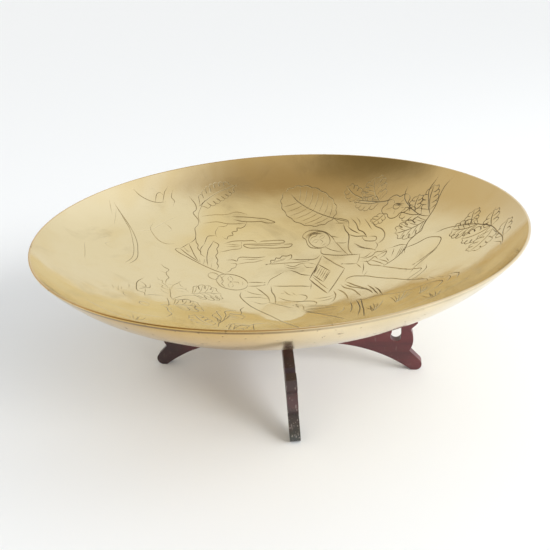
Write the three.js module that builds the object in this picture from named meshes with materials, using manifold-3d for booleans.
// Engraved brass dish on a folding wooden cross stand.
// Millimetres, +Z up. The origin is on the ground, under the centre of the dish.
// The stand is two flat boards on edge that cross in a loose half lap and turn
// on one vertical rivet. The dish rests on their top edges and lifts off.

import * as THREE from 'three';
import { mergeVertices } from 'three/addons/utils/BufferGeometryUtils.js';
import Module from 'manifold-3d';

const wasm = await Module();
wasm.setup();

// ---- driving dimensions ----------------------------------------------------

const GAP = 0.3;                 // left between pieces that rest or turn on each other

const BOARD_THICKNESS = 8.2;
const BOARD_HEIGHT = 52;         // the boards' straight top edge
const ARCH_HEIGHT = 25;          // underside of a board at the middle
const ARCH_FLAT_HALF = 37;       // half length of the straight part of the arch
const ARCH_RADIUS = 120;

const FOOT_CENTER = [113.5, 5.6];
const FOOT_RADIUS = 5.6;
const NICK = [108.5, 19.1];      // sharp inner corner above the foot
const NECK = [109.5, 39.3];      // where the scroll meets the horn
const SCROLL_SAGITTA = 2.8;
const HORN_TIP = [115.6, 45.6];
const HORN_CORNER_R = 112.4;     // where the horn's end reaches the top edge

const KEYHOLE_CENTER = [96.9, 32.6];
const KEYHOLE_RADIUS = 4.6;
const KEYHOLE_CUSP_DEG = 140;    // where the round part ends in a cusp
const KEYHOLE_MOUTH_R = 94;      // inner side of the mouth, at the top edge
const KEYHOLE_LOBE_SAGITTA = 0.6;

const OPENING_DEG = 79;          // angle between the boards as the stand is set up
const FOLDED_DEG = 25;           // angle between the boards at either end of the fold
const LAP_HEIGHT = 38.5;         // the lap's joint line

const RIVET_RADIUS = 1.5;
const RIVET_HEAD_RADIUS = 2.8;
const RIVET_HEAD_THICKNESS = 1.2;
const RIVET_HEAD_SINK = 0.6;     // the head lies this far below the top edge
const BURR_RADIUS = 4;
const BURR_THICKNESS = 0.8;
const PEENED_RADIUS = 2.5;
const PEENED_HEIGHT = 1.3;

const DISH_RADIUS = 199;         // outer face of the wall at the lip
const DISH_BASE_RADIUS = 20;     // flat middle of the dish
const DISH_LIP_HEIGHT = 139;
const DISH_WALL = 2;
const DISH_BOWL_SHARE = 0.81;    // share of the depth that the bowl's main curve gives
const DISH_BOWL_POWER = 1.3;
const DISH_FLARE_POWER = 9;      // the rest comes from the upturn near the lip

const DISH_SEGMENTS = 72;
const DISH_ROWS = 12;
const ROUND_SEGMENTS = 24;
const CURVE_TOLERANCE = 0.03;    // how far a facet may stand inside its arc

// ---- values that follow from them --------------------------------------------

const RIVET_HOLE_RADIUS = RIVET_RADIUS + GAP;
const DISH_BASE_HEIGHT = BOARD_HEIGHT + GAP;
const FOLDED = THREE.MathUtils.degToRad(FOLDED_DEG);
const LAP_HALF_LENGTH = GAP + (BOARD_THICKNESS / 2) * (1 / Math.sin(FOLDED) + 1 / Math.tan(FOLDED));

// ---- helpers -----------------------------------------------------------------

// Number of facets that keeps an arc within the curve tolerance.
function facets(radius, sweep) {
  return Math.ceil(Math.abs(sweep) / (2 * Math.acos(1 - CURVE_TOLERANCE / radius)));
}

// Points on an arc of a circle, both ends included.
function arc([cx, cy], radius, startDeg, endDeg) {
  const start = THREE.MathUtils.degToRad(startDeg);
  const sweep = THREE.MathUtils.degToRad(endDeg) - start;
  const steps = facets(radius, sweep);
  const points = [];
  for (let i = 0; i <= steps; i++) {
    const angle = start + (sweep * i) / steps;
    points.push([cx + radius * Math.cos(angle), cy + radius * Math.sin(angle)]);
  }
  return points;
}

// Points on an arc between two points, ends left out, standing sagitta to the
// right of the straight line from the first point to the second.
function bulge([ax, ay], [bx, by], sagitta) {
  const chord = Math.hypot(bx - ax, by - ay);
  const radius = (chord * chord / 4 + sagitta * sagitta) / (2 * sagitta);
  const half = Math.asin(Math.min(1, chord / 2 / radius));
  const along = [(bx - ax) / chord, (by - ay) / chord];
  const steps = facets(radius, 2 * half);
  const points = [];
  for (let i = 1; i < steps; i++) {
    const angle = half * (2 * i / steps - 1);
    const run = radius * Math.sin(angle) + chord / 2;
    const rise = radius * Math.cos(angle) - (radius - sagitta);
    points.push([ax + along[0] * run + along[1] * rise, ay + along[1] * run - along[0] * rise]);
  }
  return points;
}

// A closed geometry as a manifold solid.
function solid(geometry) {
  const bare = geometry.clone();
  bare.deleteAttribute('normal');
  bare.deleteAttribute('uv');
  const merged = mergeVertices(bare, 1e-4);
  return new wasm.Manifold(new wasm.Mesh({
    numProp: 3,
    vertProperties: new Float32Array(merged.attributes.position.array),
    triVerts: new Uint32Array(merged.index.array),
  }));
}

// A manifold solid as a geometry.
function toGeometry(manifold) {
  const mesh = manifold.getMesh();
  const geometry = new THREE.BufferGeometry();
  geometry.setAttribute('position', new THREE.BufferAttribute(mesh.vertProperties, 3));
  geometry.setIndex(new THREE.BufferAttribute(mesh.triVerts, 1));
  geometry.computeVertexNormals();
  return geometry;
}

function uprightCylinder(radius, bottom, top) {
  const geometry = new THREE.CylinderGeometry(radius, radius, top - bottom, ROUND_SEGMENTS);
  geometry.rotateX(Math.PI / 2);
  geometry.translate(0, 0, (top + bottom) / 2);
  return geometry;
}

function uprightLathe(points, segments) {
  const geometry = new THREE.LatheGeometry(points.map(([r, z]) => new THREE.Vector2(r, z)), segments);
  geometry.rotateX(Math.PI / 2);
  return geometry;
}

function piece(name, geometry, material, azimuthDeg = 0) {
  const mesh = new THREE.Mesh(geometry, material);
  mesh.name = name;
  mesh.rotation.z = THREE.MathUtils.degToRad(azimuthDeg);
  return mesh;
}

// ---- the boards --------------------------------------------------------------

// Angle on the foot's circle where the straight edge from the nick touches it.
function footTangentDeg() {
  const dx = NICK[0] - FOOT_CENTER[0];
  const dy = NICK[1] - FOOT_CENTER[1];
  const angle = Math.atan2(dy, dx) - Math.acos(FOOT_RADIUS / Math.hypot(dx, dy));
  return THREE.MathUtils.radToDeg(angle);
}

// One half of a board's outline, from the middle of the arch out along the
// underside, round the foot, scroll, horn and keyhole, and back along the top.
function halfOutline() {
  const archEndDeg = 90 - THREE.MathUtils.radToDeg(Math.acos(1 - ARCH_HEIGHT / ARCH_RADIUS));
  const keyholeRight = KEYHOLE_CENTER[0] + KEYHOLE_RADIUS;
  const keyhole = arc(KEYHOLE_CENTER, KEYHOLE_RADIUS, 0, KEYHOLE_CUSP_DEG - 360);
  const cusp = keyhole[keyhole.length - 1];
  const mouth = [KEYHOLE_MOUTH_R, BOARD_HEIGHT];
  return [
    ...arc([ARCH_FLAT_HALF, ARCH_HEIGHT - ARCH_RADIUS], ARCH_RADIUS, 90, archEndDeg),
    ...arc(FOOT_CENTER, FOOT_RADIUS, -90, footTangentDeg()),
    NICK,
    ...bulge(NICK, NECK, SCROLL_SAGITTA),
    NECK,
    HORN_TIP,
    [HORN_CORNER_R, BOARD_HEIGHT],
    [keyholeRight, BOARD_HEIGHT],
    ...keyhole,
    ...bulge(cusp, mouth, KEYHOLE_LOBE_SAGITTA),
    mouth,
  ];
}

// A board before the lap is cut, standing on edge along X.
function boardBlank() {
  const half = halfOutline();
  const mirrored = half.map(([r, h]) => [-r, h]).reverse();
  const outline = new THREE.Shape([...half, ...mirrored].map(([r, h]) => new THREE.Vector2(r, h)));
  const geometry = new THREE.ExtrudeGeometry(outline, { depth: BOARD_THICKNESS, bevelEnabled: false });
  geometry.translate(0, 0, -BOARD_THICKNESS / 2);
  geometry.rotateX(Math.PI / 2);
  return geometry;
}

// A board with its part of the lap cut away between two heights, and its rivet hole.
function lappedBoard(cutBottom, cutTop) {
  const cut = new THREE.BoxGeometry(2 * LAP_HALF_LENGTH, 2 * BOARD_THICKNESS, cutTop - cutBottom);
  cut.translate(0, 0, (cutBottom + cutTop) / 2);
  const hole = uprightCylinder(RIVET_HOLE_RADIUS, 0, BOARD_HEIGHT + 1);
  return solid(boardBlank()).subtract(solid(cut)).subtract(solid(hole));
}

// The board that keeps the lower half of the lap.
function lowerBoard() {
  return toGeometry(lappedBoard(LAP_HEIGHT - GAP / 2, BOARD_HEIGHT + 1));
}

// The board that keeps the upper half of the lap and sinks the rivet's head.
function upperBoard() {
  const seatFloor = BOARD_HEIGHT - RIVET_HEAD_SINK - RIVET_HEAD_THICKNESS - GAP;
  const seat = uprightCylinder(RIVET_HEAD_RADIUS + GAP, seatFloor, BOARD_HEIGHT + 1);
  return toGeometry(lappedBoard(ARCH_HEIGHT - 1, LAP_HEIGHT + GAP / 2).subtract(solid(seat)));
}

// ---- the rivet and its burr ----------------------------------------------------

const BURR_TOP = ARCH_HEIGHT - GAP;
const PEENED_TOP = BURR_TOP - BURR_THICKNESS - GAP;

// The rivet has a flat head on top and a domed, peened end below the burr.
function rivet() {
  const headTop = BOARD_HEIGHT - RIVET_HEAD_SINK;
  const headBottom = headTop - RIVET_HEAD_THICKNESS;
  const dome = [0, 0.35, 0.7, 0.92].map((share) => [
    PEENED_RADIUS * share,
    PEENED_TOP - PEENED_HEIGHT * Math.sqrt(1 - share * share),
  ]);
  return uprightLathe([
    ...dome,
    [PEENED_RADIUS, PEENED_TOP],
    [RIVET_RADIUS, PEENED_TOP],
    [RIVET_RADIUS, headBottom],
    [RIVET_HEAD_RADIUS, headBottom],
    [RIVET_HEAD_RADIUS, headTop],
    [0, headTop],
  ], ROUND_SEGMENTS);
}

// The washer that the rivet is peened over.
function burr() {
  const disc = uprightCylinder(BURR_RADIUS, BURR_TOP - BURR_THICKNESS, BURR_TOP);
  const hole = uprightCylinder(RIVET_HOLE_RADIUS, BURR_TOP - BURR_THICKNESS - 1, BURR_TOP + 1);
  return toGeometry(solid(disc).subtract(solid(hole)));
}

// ---- the dish ------------------------------------------------------------------

// Height of the dish's outer face at a share of the way from the base to the lip.
function dishHeight(share) {
  const bowl = DISH_BOWL_SHARE * share ** DISH_BOWL_POWER;
  const flare = (1 - DISH_BOWL_SHARE) * share ** DISH_FLARE_POWER;
  return DISH_BASE_HEIGHT + (DISH_LIP_HEIGHT - DISH_BASE_HEIGHT) * (bowl + flare);
}

// Slope of the outer face there, height gained for each millimetre outwards.
function dishSlope(share) {
  const bowl = DISH_BOWL_SHARE * DISH_BOWL_POWER * share ** (DISH_BOWL_POWER - 1);
  const flare = (1 - DISH_BOWL_SHARE) * DISH_FLARE_POWER * share ** (DISH_FLARE_POWER - 1);
  return (DISH_LIP_HEIGHT - DISH_BASE_HEIGHT) * (bowl + flare) / (DISH_RADIUS - DISH_BASE_RADIUS);
}

// The outer face, the inner face one wall thickness inside it, and a round lip.
function dish() {
  const outer = [[0, DISH_BASE_HEIGHT]];
  const inner = [[0, DISH_BASE_HEIGHT + DISH_WALL]];
  for (let i = 0; i <= DISH_ROWS; i++) {
    const share = i / DISH_ROWS;
    const r = DISH_BASE_RADIUS + (DISH_RADIUS - DISH_BASE_RADIUS) * share;
    const slope = Math.atan(dishSlope(share));
    outer.push([r, dishHeight(share)]);
    inner.push([r - DISH_WALL * Math.sin(slope), dishHeight(share) + DISH_WALL * Math.cos(slope)]);
  }
  const [outerEnd, innerEnd] = [outer[outer.length - 1], inner[inner.length - 1]];
  const lip = bulge(outerEnd, innerEnd, DISH_WALL / 2);
  return uprightLathe([...outer, ...lip, ...inner.reverse()], DISH_SEGMENTS);
}

// ---- assembly ------------------------------------------------------------------

const brass = new THREE.MeshStandardMaterial({ color: 0xd0b27a, roughness: 0.28, metalness: 1 });
const lacquer = new THREE.MeshStandardMaterial({ color: 0x552a28, roughness: 0.35, metalness: 0 });
const steel = new THREE.MeshStandardMaterial({ color: 0x8c8c88, roughness: 0.4, metalness: 1 });
const copper = new THREE.MeshStandardMaterial({ color: 0xa8884c, roughness: 0.45, metalness: 1 });

const object = new THREE.Group();
object.add(
  piece('lower_board', lowerBoard(), lacquer, 90),
  piece('upper_board', upperBoard(), lacquer, OPENING_DEG - 90),
  piece('pivot_rivet', rivet(), steel),
  piece('rivet_burr', burr(), copper),
  piece('dish', dish(), brass),
);

export default object;
